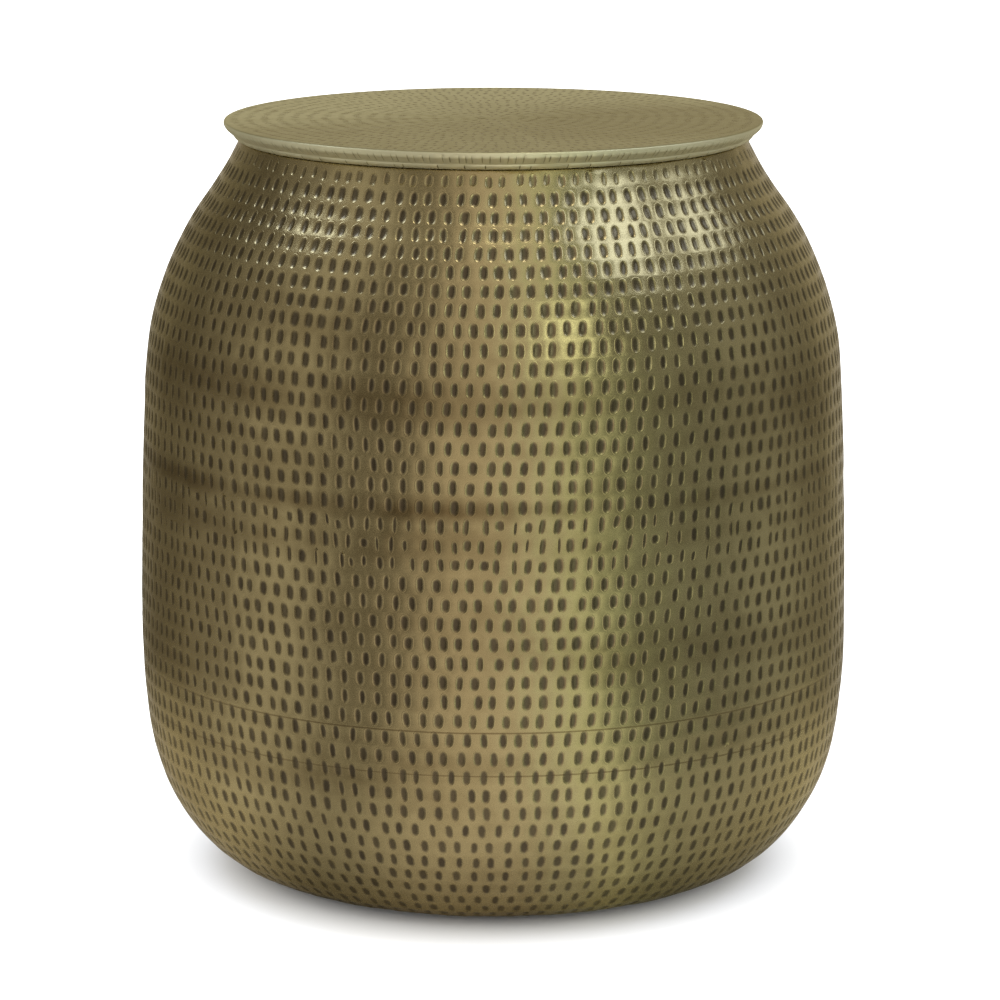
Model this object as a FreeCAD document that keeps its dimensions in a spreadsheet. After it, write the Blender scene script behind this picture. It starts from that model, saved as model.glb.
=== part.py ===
"""Drum side table: a spun sheet-metal drum with a lift-off lid, in millimetres.

The drum is spun in two halves that meet at a welded waist seam, backed by a strap on the inside.
Its mouth is rolled in over a wire, and its floor is pressed up in the middle, where four screwed
feet carry it. The lid is a second spinning: its edge has a rounded lip, a crease and a hem that
grips the flange of a collar, and the collar drops into the mouth.

The origin is on the ground, on the drum's axis, with +Z up.
"""
import FreeCAD, Part
import math
import os
import Sketcher
from FreeCAD import Vector

SIZES = {
    # drum
    "sheet_gauge": 1.0,             # sheet of both halves
    "belly_radius": 203.2,          # outside, at the widest circle
    "belly_height": 134.8,          # of the widest circle, above the base ring
    "lower_side_radius": 349.0,     # of the profile below the widest circle
    "upper_side_radius": 2840.0,    # of the profile above the widest circle
    "base_inset": 77.2,             # from the widest circle in to the base ring
    "heel_radius": 60.8,            # of the profile above the base ring
    "heel_turn": 48.0,              # degrees that the profile turns there
    "waist_above_belly": 96.0,      # the welded seam
    "shoulder_above_waist": 57.0,   # where the side turns into the shoulder
    "rim_above_shoulder": 133.2,    # top of the rolled rim
    "mouth_inset": 65.0,            # from the widest circle in to the clear mouth
    "neck_angle": 26.0,             # degrees that the neck leans in at the rim
    "neck_radius": 214.0,           # hollow of the neck
    "rim_wire": 3.0,                # diameter of the wire in the rim
    "wire_fit": 0.55,               # room between the wire and the rolled sheet
    "curl_turn": 285.0,             # degrees of sheet round the wire
    "base_clearance": 1.5,          # base ring above the ground
    "recess_depth": 6.0,            # floor above the base ring
    "recess_bend": 4.0,             # inside bend radius of the floor's edge
    "strap_gauge": 1.0,
    "strap_height": 24.0,
    "strap_fit": 0.3,               # room between the strap and the wall
    # feet
    "foot_radius": 12.0,
    "foot_margin": 5.0,             # from a foot to the floor's edge
    "foot_chamfer": 1.5,
    "foot_count": 4,
    "screw_radius": 1.75,
    "screw_fit": 0.15,              # radial room of the screw in its holes
    "head_radius": 3.4,
    "head_height": 2.5,
    "head_face": 2.3,               # radius of the head's flat end
    "head_crown": 1.3,              # height of the rounding round it
    "head_sunk": 1.3,               # screw head above the ground
    "head_room": 0.8,               # radial room of the head in the foot
    "screw_past_nut": 1.2,
    "washer_radius": 5.5,
    "washer_gauge": 0.8,
    "nut_flats": 6.0,               # across the flats
    "nut_height": 2.8,
    # lid
    "lid_gauge": 1.0,
    "lid_rise": 9.3,                # top of the lid above the rim
    "seat_gap": 0.3,                # between the collar's flange and the rim
    "seam_gap": 0.3,                # between the flange and the hem below it
    "seam_grip": 0.25,              # flange over the hem's edge
    "hem_clearance": 0.1,           # hem's edge outside the rim
    "hem_bend": 0.8,                # inside bend radius of the hem's edge
    "hem_radius": 11.0,             # inside radius of the hem's face
    "hem_run": 4.0,                 # hem's edge out to the crease
    "hem_rise": 4.4,                # hem's edge up to the crease
    "lip_run": 4.5,                 # crease out to the lip
    "lip_bend": 1.2,                # inside bend radius of the lip
    "collar_gauge": 1.0,
    "collar_play": 1.8,             # radial room of the collar in the mouth
    "collar_depth": 16.0,
    "collar_bend": 1.5,             # inside bend radius under the flange
    "lead_height": 4.0,             # tapered foot of the collar
    "lead_inset": 1.5,
}

# Places that several pieces share, as expressions on the sheet.
BELLY_Z = "sizes.base_clearance + sizes.belly_height"
WAIST_Z = BELLY_Z + " + sizes.waist_above_belly"
SHOULDER_Z = WAIST_Z + " + sizes.shoulder_above_waist"
RIM_Z = SHOULDER_Z + " + sizes.rim_above_shoulder"
BASE_R = "sizes.belly_radius - sizes.base_inset"
MOUTH_R = "sizes.belly_radius - sizes.mouth_inset"
CURL_R = "sizes.rim_wire / 2 + sizes.wire_fit + sizes.sheet_gauge"
SIDE_X = "sizes.upper_side_radius - sizes.belly_radius"
FLOOR_Z = "sizes.base_clearance + sizes.recess_depth"
FLOOR_TOP_Z = FLOOR_Z + " + sizes.sheet_gauge"
BENDS = "(2 * sizes.recess_bend + sizes.sheet_gauge)"
FLOOR_R = f"{BASE_R} - sqrt({BENDS} ^ 2 - ({BENDS} - sizes.recess_depth) ^ 2)"
FOOT_X = f"{FLOOR_R} - sizes.foot_margin - sizes.foot_radius"
HOLE_R = "sizes.screw_radius + sizes.screw_fit"
HEAD_TOP_Z = "sizes.head_sunk + sizes.head_height"
NUT_Z = FLOOR_TOP_Z + " + sizes.washer_gauge"
SCREW_TOP_Z = NUT_Z + " + sizes.nut_height + sizes.screw_past_nut"
HEM_R = f"{MOUTH_R} + 2 * ({CURL_R}) + sizes.hem_clearance"
HEM_Z = "sizes.seat_gap - sizes.seam_gap - sizes.lid_gauge"
CREASE_R = HEM_R + " + sizes.hem_run"
LID_R = CREASE_R + " + sizes.lip_run"
COLLAR_R = MOUTH_R + " - sizes.collar_play"

START, END, CENTRE = 1, 2, 3
ORIGIN = (-1, 1)

doc = FreeCAD.newDocument("drum_side_table")


def make_sheet():
    """Puts the driving sizes into a spreadsheet, one named cell each."""
    sheet = doc.addObject("Spreadsheet::Sheet", "sizes")
    for row, (alias, number) in enumerate(SIZES.items(), start=1):
        sheet.set(f"A{row}", alias)
        sheet.set(f"B{row}", str(number))
        sheet.setAlias(f"B{row}", alias)
    doc.recompute()


def make_body(label):
    body = doc.addObject("PartDesign::Body", label)
    body.Label = label
    return body


def origin_feature(body, role):
    return next(item for item in body.Origin.OriginFeatures if item.Role == role)


def on_circle(centre, radius, angle):
    return centre + Vector(radius * math.cos(angle), radius * math.sin(angle), 0)


def angle_of(vector):
    return math.atan2(vector.y, vector.x)


def circles_meet(first, first_radius, second, second_radius):
    """Returns the point on two circles that lies left of the line from the first to the second."""
    along = second - first
    distance = along.Length
    along.normalize()
    reach = (distance ** 2 + first_radius ** 2 - second_radius ** 2) / (2 * distance)
    aside = math.sqrt(first_radius ** 2 - reach ** 2)
    return first + along * reach + Vector(-along.y, along.x, 0) * aside


class Profile:
    """A sketch in one of its body's origin planes, with its sizes bound to the sheet.

    In the XZ plane x is the radius from the drum's axis and y the height.
    """

    def __init__(self, body, name, plane="XZ_Plane"):
        self.body = body
        self.sketch = body.newObject("Sketcher::SketchObject", name)
        self.sketch.AttachmentSupport = [(origin_feature(body, plane), "")]
        self.sketch.MapMode = "FlatFace"

    def value(self, expression):
        return float(self.sketch.evalExpression(expression))

    def line(self, start, end, guide=False):
        return self.sketch.addGeometry(Part.LineSegment(start, end), guide)

    def arc(self, centre, radius, start, end):
        """Adds an arc that runs counter-clockwise between two angles."""
        circle = Part.Circle(centre, Vector(0, 0, 1), radius)
        return self.sketch.addGeometry(Part.ArcOfCircle(circle, start, end), False)

    def circle(self, centre, radius):
        return self.sketch.addGeometry(Part.Circle(centre, Vector(0, 0, 1), radius), False)

    def tie(self, kind, *places):
        self.sketch.addConstraint(Sketcher.Constraint(kind, *places))

    def tie_all(self, kind, *pairs):
        for pair in pairs:
            self.tie(kind, *pair)

    def on_x_axis(self, element, end):
        self.tie("PointOnObject", element, end, -1)

    def on_y_axis(self, element, end):
        self.tie("PointOnObject", element, end, -2)

    def size(self, name, expression, kind, *places):
        """Adds a named dimension that follows an expression on the sheet."""
        number = self.value(expression)
        start = math.radians(number) if kind == "Angle" else number
        index = self.sketch.addConstraint(Sketcher.Constraint(kind, *places, start))
        self.sketch.renameConstraint(index, name)
        self.sketch.setExpression("Constraints." + name, expression)

    def polygon(self, corners):
        """Adds a closed outline through corners given as pairs of expressions."""
        points = [Vector(self.value(x), self.value(y), 0) for x, y in corners]
        lines = [self.line(point, points[(i + 1) % len(points)]) for i, point in enumerate(points)]
        for i, (x, y) in enumerate(corners):
            self.tie("Coincident", lines[i - 1], END, lines[i], START)
            self.size(f"corner_{i}_x", x, "DistanceX", *ORIGIN, lines[i], START)
            if abs(points[i].y) < 1e-9:
                self.on_x_axis(lines[i], START)
            else:
                self.size(f"corner_{i}_y", y, "DistanceY", *ORIGIN, lines[i], START)

    def revolve(self, name, axis="V_Axis"):
        turned = self.body.newObject("PartDesign::Revolution", name)
        turned.Profile = self.sketch
        turned.ReferenceAxis = (self.sketch, [axis])
        turned.Angle = 360
        self.sketch.Visibility = False
        return turned


def repeat_round(body, feature, name):
    """Repeats a feature once for each foot, round the drum's axis."""
    doc.recompute()
    pattern = body.newObject("PartDesign::PolarPattern", name)
    pattern.Originals = [feature]
    pattern.Axis = (origin_feature(body, "Z_Axis"), [""])
    pattern.Angle = 360
    pattern.setExpression("Occurrences", "sizes.foot_count")
    body.Tip = pattern


class DrumCurve:
    """Centres, radii and joint angles of the drum's outer arcs, where the sketches start."""

    def __init__(self, profile):
        value = profile.value
        belly, belly_z = value("sizes.belly_radius"), value(BELLY_Z)
        base_z = value("sizes.base_clearance")
        # lower half: the heel stands on the base ring, and the corner joins it to the lower side
        self.low_radius = value("sizes.lower_side_radius")
        self.low = Vector(belly - self.low_radius, belly_z, 0)
        self.heel_radius = value("sizes.heel_radius")
        self.heel = Vector(value(BASE_R), base_z + self.heel_radius, 0)
        self.heel_end = math.radians(value("sizes.heel_turn") - 90)
        outward = on_circle(Vector(), 1, self.heel_end)
        from_low = on_circle(self.heel, self.heel_radius, self.heel_end) - self.low
        room = self.low_radius ** 2 - from_low.dot(from_low)
        self.corner_radius = room / (2 * (self.low_radius - outward.dot(from_low)))
        self.corner = self.low + from_low - outward * self.corner_radius
        self.corner_end = angle_of(self.corner - self.low)
        # upper half: the neck hangs on the rim's curl, and the shoulder joins it to the side
        self.side_radius = value("sizes.upper_side_radius")
        self.side = Vector(belly - self.side_radius, belly_z, 0)
        self.waist_angle = math.asin((value(WAIST_Z) - belly_z) / self.side_radius)
        self.side_end = math.asin((value(SHOULDER_Z) - belly_z) / self.side_radius)
        self.curl_radius = value(CURL_R)
        self.curl = Vector(value(MOUTH_R) + self.curl_radius, value(RIM_Z) - self.curl_radius, 0)
        self.neck_angle = math.radians(value("sizes.neck_angle"))
        self.neck_radius = value("sizes.neck_radius")
        self.neck = on_circle(self.curl, self.curl_radius + self.neck_radius, self.neck_angle)
        outward = on_circle(Vector(), 1, self.side_end)
        from_neck = on_circle(self.side, self.side_radius, self.side_end) - self.neck
        room = from_neck.dot(from_neck) - self.neck_radius ** 2
        self.shoulder_radius = room / (2 * (self.neck_radius + outward.dot(from_neck)))
        self.shoulder = self.neck + from_neck - outward * self.shoulder_radius
        self.shoulder_end = angle_of(self.neck - self.shoulder)


def make_lower_shell():
    """The lower half: raised floor, base ring, heel, corner and side, with one wall thickness all over."""
    body = make_body("lower_shell")
    profile = Profile(body, "lower_wall")
    curve = DrumCurve(profile)
    gauge = profile.value("sizes.sheet_gauge")
    bend = profile.value("sizes.recess_bend")
    floor_z, floor_r = profile.value(FLOOR_Z), profile.value(FLOOR_R)
    turn = math.acos(1 - profile.value("sizes.recess_depth") / (2 * bend + gauge))
    inner = Vector(floor_r, floor_z - bend, 0)
    ring = Vector(curve.heel.x, profile.value("sizes.base_clearance") + bend + gauge, 0)
    quarter = math.pi / 2

    def wall(depth):
        """Adds the floor line and the six arcs of one face, depth inside the outer one."""
        floor = profile.line(Vector(0, floor_z + depth, 0), Vector(floor_r, floor_z + depth, 0))
        inner_bend = profile.arc(inner, bend + depth, quarter - turn, quarter)
        ring_bend = profile.arc(ring, bend + gauge - depth, 3 * quarter - turn, 3 * quarter)
        heel = profile.arc(curve.heel, curve.heel_radius - depth, -quarter, curve.heel_end)
        corner = profile.arc(curve.corner, curve.corner_radius - depth, curve.heel_end, curve.corner_end)
        low = profile.arc(curve.low, curve.low_radius - depth, curve.corner_end, 0)
        side = profile.arc(curve.side, curve.side_radius - depth, 0, curve.waist_angle)
        profile.tie("Horizontal", floor)
        profile.on_y_axis(floor, START)
        profile.tie_all("Tangent", (floor, END, inner_bend, END), (inner_bend, START, ring_bend, START),
                        (ring_bend, END, heel, START), (heel, END, corner, START), (corner, END, low, START),
                        (low, END, side, START))
        return floor, inner_bend, ring_bend, heel, corner, low, side

    outside = wall(0)
    inside = wall(gauge)
    floor, inner_bend, ring_bend, heel, corner, low, side = outside
    for outer_arc, inner_arc in zip(outside[1:], inside[1:]):
        profile.tie("Coincident", outer_arc, CENTRE, inner_arc, CENTRE)
    waist_z = profile.value(WAIST_Z)
    seam = profile.line(Vector(curve.side.x + curve.side_radius, waist_z, 0),
                        Vector(curve.side.x + curve.side_radius - gauge, waist_z, 0))
    axis = profile.line(Vector(0, floor_z, 0), Vector(0, floor_z + gauge, 0))
    profile.tie("Horizontal", seam)
    profile.tie_all("Coincident", (side, END, seam, START), (inside[6], END, seam, END),
                    (floor, START, axis, START), (inside[0], START, axis, END))
    profile.tie("Vertical", heel, START, heel, CENTRE)
    profile.tie("Horizontal", low, END, low, CENTRE)
    profile.size("gauge", "sizes.sheet_gauge", "DistanceY", floor, START, inside[0], START)
    profile.size("base_radius", BASE_R, "DistanceX", *ORIGIN, heel, START)
    profile.size("base_height", "sizes.base_clearance", "DistanceY", *ORIGIN, heel, START)
    profile.size("heel_radius", "sizes.heel_radius", "Radius", heel)
    profile.size("heel_turn", "sizes.heel_turn", "Angle", heel)
    profile.size("floor_height", FLOOR_Z, "DistanceY", *ORIGIN, floor, START)
    profile.size("inner_bend", "sizes.recess_bend", "Radius", inner_bend)
    profile.size("ring_bend", "sizes.recess_bend + sizes.sheet_gauge", "Radius", ring_bend)
    profile.size("lower_side", "sizes.lower_side_radius", "Radius", low)
    profile.size("belly_radius", "sizes.belly_radius", "DistanceX", *ORIGIN, low, END)
    profile.size("belly_height", BELLY_Z, "DistanceY", *ORIGIN, low, END)
    profile.size("upper_side", "sizes.upper_side_radius", "Radius", side)
    profile.size("waist_height", WAIST_Z, "DistanceY", *ORIGIN, side, END)
    profile.revolve("lower_spinning")

    holes = Profile(body, "screw_hole", "XY_Plane")
    hole = holes.circle(Vector(holes.value(FOOT_X), 0, 0), holes.value(HOLE_R))
    holes.on_x_axis(hole, CENTRE)
    holes.size("foot_place", FOOT_X, "DistanceX", *ORIGIN, hole, CENTRE)
    holes.size("hole_radius", HOLE_R, "Radius", hole)
    doc.recompute()
    uncut = body.Shape.Volume
    cut = body.newObject("PartDesign::Pocket", "screw_hole_cut")
    cut.Profile = holes.sketch
    cut.Reversed = True
    cut.setExpression("Length", f"{FLOOR_TOP_Z} + sizes.sheet_gauge")
    repeat_round(body, cut, "screw_holes")
    doc.recompute()
    if body.Shape.Volume >= uncut:
        raise RuntimeError("the screw holes cut nothing")
    return body


def make_upper_shell():
    """The upper half: side, shoulder and hollow neck, with its mouth rolled in over the wire."""
    body = make_body("upper_shell")
    profile = Profile(body, "upper_wall")
    curve = DrumCurve(profile)
    gauge = profile.value("sizes.sheet_gauge")
    curl_end = curve.neck_angle + math.radians(profile.value("sizes.curl_turn"))

    def wall(depth):
        """Adds the four arcs of one face, depth inside the outer one."""
        side = profile.arc(curve.side, curve.side_radius - depth, curve.waist_angle, curve.side_end)
        shoulder = profile.arc(curve.shoulder, curve.shoulder_radius - depth,
                               curve.side_end, curve.shoulder_end)
        neck = profile.arc(curve.neck, curve.neck_radius + depth,
                           curve.neck_angle + math.pi, curve.shoulder_end + math.pi)
        curl = profile.arc(curve.curl, curve.curl_radius - depth, curve.neck_angle, curl_end)
        profile.tie_all("Tangent", (side, END, shoulder, START), (shoulder, END, neck, END),
                        (neck, START, curl, START))
        return side, shoulder, neck, curl

    outside = wall(0)
    inside = wall(gauge)
    side, shoulder, neck, curl = outside
    for outer_arc, inner_arc in zip(outside, inside):
        profile.tie("Coincident", outer_arc, CENTRE, inner_arc, CENTRE)
    edge = profile.line(on_circle(curve.curl, curve.curl_radius, curl_end),
                        on_circle(curve.curl, curve.curl_radius - gauge, curl_end))
    seam = profile.line(on_circle(curve.side, curve.side_radius, curve.waist_angle),
                        on_circle(curve.side, curve.side_radius - gauge, curve.waist_angle))
    lean = profile.line(curve.curl, curve.neck, guide=True)
    profile.tie_all("Coincident", (curl, END, edge, START), (inside[3], END, edge, END),
                    (side, START, seam, START), (inside[0], START, seam, END),
                    (lean, START, curl, CENTRE), (lean, END, neck, CENTRE))
    profile.tie("Horizontal", seam)
    profile.tie("PointOnObject", curl, CENTRE, edge)
    profile.size("gauge", "sizes.sheet_gauge", "Distance", edge)
    profile.size("side_place", SIDE_X, "DistanceX", side, CENTRE, *ORIGIN)
    profile.size("belly_height", BELLY_Z, "DistanceY", *ORIGIN, side, CENTRE)
    profile.size("upper_side", "sizes.upper_side_radius", "Radius", side)
    profile.size("waist_height", WAIST_Z, "DistanceY", *ORIGIN, side, START)
    profile.size("shoulder_height", SHOULDER_Z, "DistanceY", *ORIGIN, side, END)
    profile.size("neck_radius", "sizes.neck_radius", "Radius", neck)
    profile.size("neck_angle", "sizes.neck_angle", "Angle", lean)
    profile.size("curl_radius", CURL_R, "Radius", curl)
    profile.size("curl_turn", "sizes.curl_turn", "Angle", curl)
    profile.size("curl_place", f"{MOUTH_R} + {CURL_R}", "DistanceX", *ORIGIN, curl, CENTRE)
    profile.size("curl_height", f"{RIM_Z} - ({CURL_R})", "DistanceY", *ORIGIN, curl, CENTRE)
    profile.revolve("upper_spinning")
    return body


def make_waist_strap():
    """The band that backs the welded seam, bent to the wall's own curve."""
    body = make_body("waist_strap")
    profile = Profile(body, "strap_section")
    curve = DrumCurve(profile)
    outer_expression = "sizes.upper_side_radius - sizes.sheet_gauge - sizes.strap_fit"
    outer_radius = profile.value(outer_expression)
    gauge = profile.value("sizes.strap_gauge")
    half = profile.value("sizes.strap_height") / (2 * outer_radius)
    low, high = curve.waist_angle - half, curve.waist_angle + half
    outer = profile.arc(curve.side, outer_radius, low, high)
    inner = profile.arc(curve.side, outer_radius - gauge, low, high)
    top = profile.line(on_circle(curve.side, outer_radius, high),
                       on_circle(curve.side, outer_radius - gauge, high))
    bottom = profile.line(on_circle(curve.side, outer_radius, low),
                          on_circle(curve.side, outer_radius - gauge, low))
    profile.tie_all("Coincident", (outer, CENTRE, inner, CENTRE), (outer, END, top, START),
                    (inner, END, top, END), (outer, START, bottom, START), (inner, START, bottom, END))
    profile.tie("Horizontal", top)
    profile.tie("Horizontal", bottom)
    profile.size("side_place", SIDE_X, "DistanceX", outer, CENTRE, *ORIGIN)
    profile.size("belly_height", BELLY_Z, "DistanceY", *ORIGIN, outer, CENTRE)
    profile.size("outer_radius", outer_expression, "Radius", outer)
    profile.size("inner_radius", f"{outer_expression} - sizes.strap_gauge", "Radius", inner)
    profile.size("top_height", f"{WAIST_Z} + sizes.strap_height / 2", "DistanceY", *ORIGIN, top, START)
    profile.size("strap_height", "sizes.strap_height", "DistanceY", bottom, START, top, START)
    profile.revolve("strap_band")
    return body


def make_mouth_rim_wire():
    """The wire that the mouth is rolled over."""
    wire = doc.addObject("Part::Torus", "mouth_rim_wire")
    wire.Label = "mouth_rim_wire"
    wire.setExpression("Radius1", f"{MOUTH_R} + {CURL_R}")
    wire.setExpression("Radius2", "sizes.rim_wire / 2")
    wire.setExpression("Placement.Base.z", f"{RIM_Z} - ({CURL_R})")
    return wire


def make_foot_piece(label, corners):
    """Turns a section about the first foot's axis and repeats it for the other feet.

    The section's corners are pairs of expressions: distance from the foot's axis, and height.
    """
    body = make_body(label)
    profile = Profile(body, label + "_section")
    foot_x = profile.value(FOOT_X)
    axis = profile.line(Vector(foot_x, 0, 0), Vector(foot_x, profile.value(SCREW_TOP_Z), 0), guide=True)
    profile.tie("Vertical", axis)
    profile.on_x_axis(axis, START)
    profile.size("foot_place", FOOT_X, "DistanceX", *ORIGIN, axis, START)
    profile.size("axis_top", SCREW_TOP_Z, "DistanceY", *ORIGIN, axis, END)
    profile.polygon([(f"{FOOT_X} + {x}", y) for x, y in corners])
    turned = profile.revolve(label + "_turned", "Axis0")
    repeat_round(body, turned, label + "_round")
    return body


def make_foot_pads():
    """Rubber feet with a chamfered tread and a pocket for the screw's head."""
    pocket = "sizes.head_radius + sizes.head_room"
    return make_foot_piece("foot_pads", [
        (pocket, "0"),
        ("sizes.foot_radius - sizes.foot_chamfer", "0"),
        ("sizes.foot_radius", "sizes.foot_chamfer"),
        ("sizes.foot_radius", FLOOR_Z),
        (HOLE_R, FLOOR_Z),
        (HOLE_R, HEAD_TOP_Z),
        (pocket, HEAD_TOP_Z),
    ])


def make_foot_screws():
    """Pan-head screws, put in from below."""
    return make_foot_piece("foot_screws", [
        ("0", "sizes.head_sunk"),
        ("sizes.head_face", "sizes.head_sunk"),
        ("sizes.head_radius", "sizes.head_sunk + sizes.head_crown"),
        ("sizes.head_radius", HEAD_TOP_Z),
        ("sizes.screw_radius", HEAD_TOP_Z),
        ("sizes.screw_radius", SCREW_TOP_Z),
        ("0", SCREW_TOP_Z),
    ])


def make_foot_washers():
    """Flat washers on the drum's floor."""
    return make_foot_piece("foot_washers", [
        (HOLE_R, FLOOR_TOP_Z),
        ("sizes.washer_radius", FLOOR_TOP_Z),
        ("sizes.washer_radius", NUT_Z),
        (HOLE_R, NUT_Z),
    ])


def make_foot_nuts():
    """Hexagon nuts on the washers."""
    body = make_body("foot_nuts")
    profile = Profile(body, "nut_hexagon", "XY_Plane")
    foot_x = profile.value(FOOT_X)
    centre = Vector(foot_x, 0, 0)
    corner_radius = profile.value("sizes.nut_flats / sqrt(3)")
    corners = [on_circle(centre, corner_radius, math.radians(60 * i)) for i in range(6)]
    bore = profile.circle(centre, profile.value(HOLE_R))
    guide = profile.circle(centre, corner_radius)
    profile.sketch.setConstruction(guide, True)
    sides = [profile.line(corners[i], corners[(i + 1) % 6]) for i in range(6)]
    for i, side in enumerate(sides):
        profile.tie("Coincident", sides[i - 1], END, side, START)
        profile.tie("PointOnObject", side, START, guide)
    for side in sides[1:]:
        profile.tie("Equal", sides[0], side)
    profile.on_x_axis(sides[0], START)
    profile.on_x_axis(bore, CENTRE)
    profile.tie("Coincident", bore, CENTRE, guide, CENTRE)
    profile.size("foot_place", FOOT_X, "DistanceX", *ORIGIN, bore, CENTRE)
    profile.size("bore_radius", HOLE_R, "Radius", bore)
    profile.size("corner_radius", "sizes.nut_flats / sqrt(3)", "Radius", guide)
    profile.sketch.setExpression("AttachmentOffset.Base.z", NUT_Z)
    nut = body.newObject("PartDesign::Pad", "nut")
    nut.Profile = profile.sketch
    nut.setExpression("Length", "sizes.nut_height")
    repeat_round(body, nut, "nuts_round")
    return body


def make_lid_top():
    """The lid's sheet: flat top, rounded lip, crease and hem. Its own zero height is the rim's top."""
    body = make_body("lid_top")
    profile = Profile(body, "lid_sheet")
    value = profile.value
    gauge = value("sizes.lid_gauge")
    lip_radius = value("sizes.lip_bend") + gauge
    hem_bend = value("sizes.hem_bend") + gauge
    hem_radius = value("sizes.hem_radius") + gauge
    top_z = value("sizes.lid_rise")
    lip = Vector(value(LID_R) - lip_radius, top_z - lip_radius, 0)
    crease = Vector(value(CREASE_R), value(HEM_Z) + value("sizes.hem_rise"), 0)
    bend = Vector(value(HEM_R), value(HEM_Z) + hem_bend, 0)
    hem = circles_meet(bend, hem_radius - hem_bend, crease, hem_radius)
    down = crease - lip
    lip_start = angle_of(down) + math.acos(lip_radius / down.Length)
    hem_start, hem_end = angle_of(bend - hem), angle_of(crease - hem)

    def face(depth):
        """Adds the lines and arcs of one face, depth inside the outer one."""
        top = profile.line(Vector(0, top_z - depth, 0), Vector(lip.x, top_z - depth, 0))
        lip_arc = profile.arc(lip, lip_radius - depth, lip_start, math.pi / 2)
        under = profile.line(on_circle(lip, lip_radius - depth, lip_start),
                             on_circle(hem, hem_radius - depth, hem_end))
        hem_arc = profile.arc(hem, hem_radius - depth, hem_start, hem_end)
        bend_arc = profile.arc(bend, hem_bend - depth, -math.pi / 2, hem_start)
        profile.tie("Horizontal", top)
        profile.on_y_axis(top, START)
        profile.tie_all("Tangent", (top, END, lip_arc, END), (lip_arc, START, under, START),
                        (hem_arc, START, bend_arc, END))
        profile.tie("Coincident", under, END, hem_arc, END)
        return top, lip_arc, under, hem_arc, bend_arc

    outside = face(0)
    inside = face(gauge)
    top, lip_arc, under, hem_arc, bend_arc = outside
    for i in (1, 3, 4):
        profile.tie("Coincident", outside[i], CENTRE, inside[i], CENTRE)
    profile.tie("Parallel", under, inside[2])
    axis = profile.line(Vector(0, top_z, 0), Vector(0, top_z - gauge, 0))
    edge = profile.line(on_circle(bend, hem_bend, -math.pi / 2),
                        on_circle(bend, hem_bend - gauge, -math.pi / 2))
    profile.tie_all("Coincident", (top, START, axis, START), (inside[0], START, axis, END),
                    (bend_arc, START, edge, START), (inside[4], START, edge, END))
    profile.tie("Vertical", edge)
    profile.tie("Vertical", bend_arc, START, bend_arc, CENTRE)
    profile.size("gauge", "sizes.lid_gauge", "DistanceY", inside[0], START, top, START)
    profile.size("edge_gauge", "sizes.lid_gauge", "DistanceY", edge, START, edge, END)
    profile.size("rise", "sizes.lid_rise", "DistanceY", *ORIGIN, top, START)
    profile.size("lip_place", f"{LID_R} - sizes.lip_bend - sizes.lid_gauge",
                 "DistanceX", *ORIGIN, lip_arc, CENTRE)
    profile.size("lip_bend", "sizes.lip_bend", "Radius", inside[1])
    profile.size("crease_radius", CREASE_R, "DistanceX", *ORIGIN, under, END)
    profile.size("crease_height", f"{HEM_Z} + sizes.hem_rise", "DistanceY", *ORIGIN, under, END)
    profile.size("hem_face", "sizes.hem_radius + sizes.lid_gauge", "Radius", hem_arc)
    profile.size("hem_bend", "sizes.hem_bend", "Radius", inside[4])
    profile.size("hem_edge", HEM_R, "DistanceX", *ORIGIN, bend_arc, START)
    profile.size("hem_drop", f"0 - ({HEM_Z})", "DistanceY", bend_arc, START, *ORIGIN)
    profile.revolve("lid_spinning")
    body.setExpression("Placement.Base.z", RIM_Z)
    return body


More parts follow.
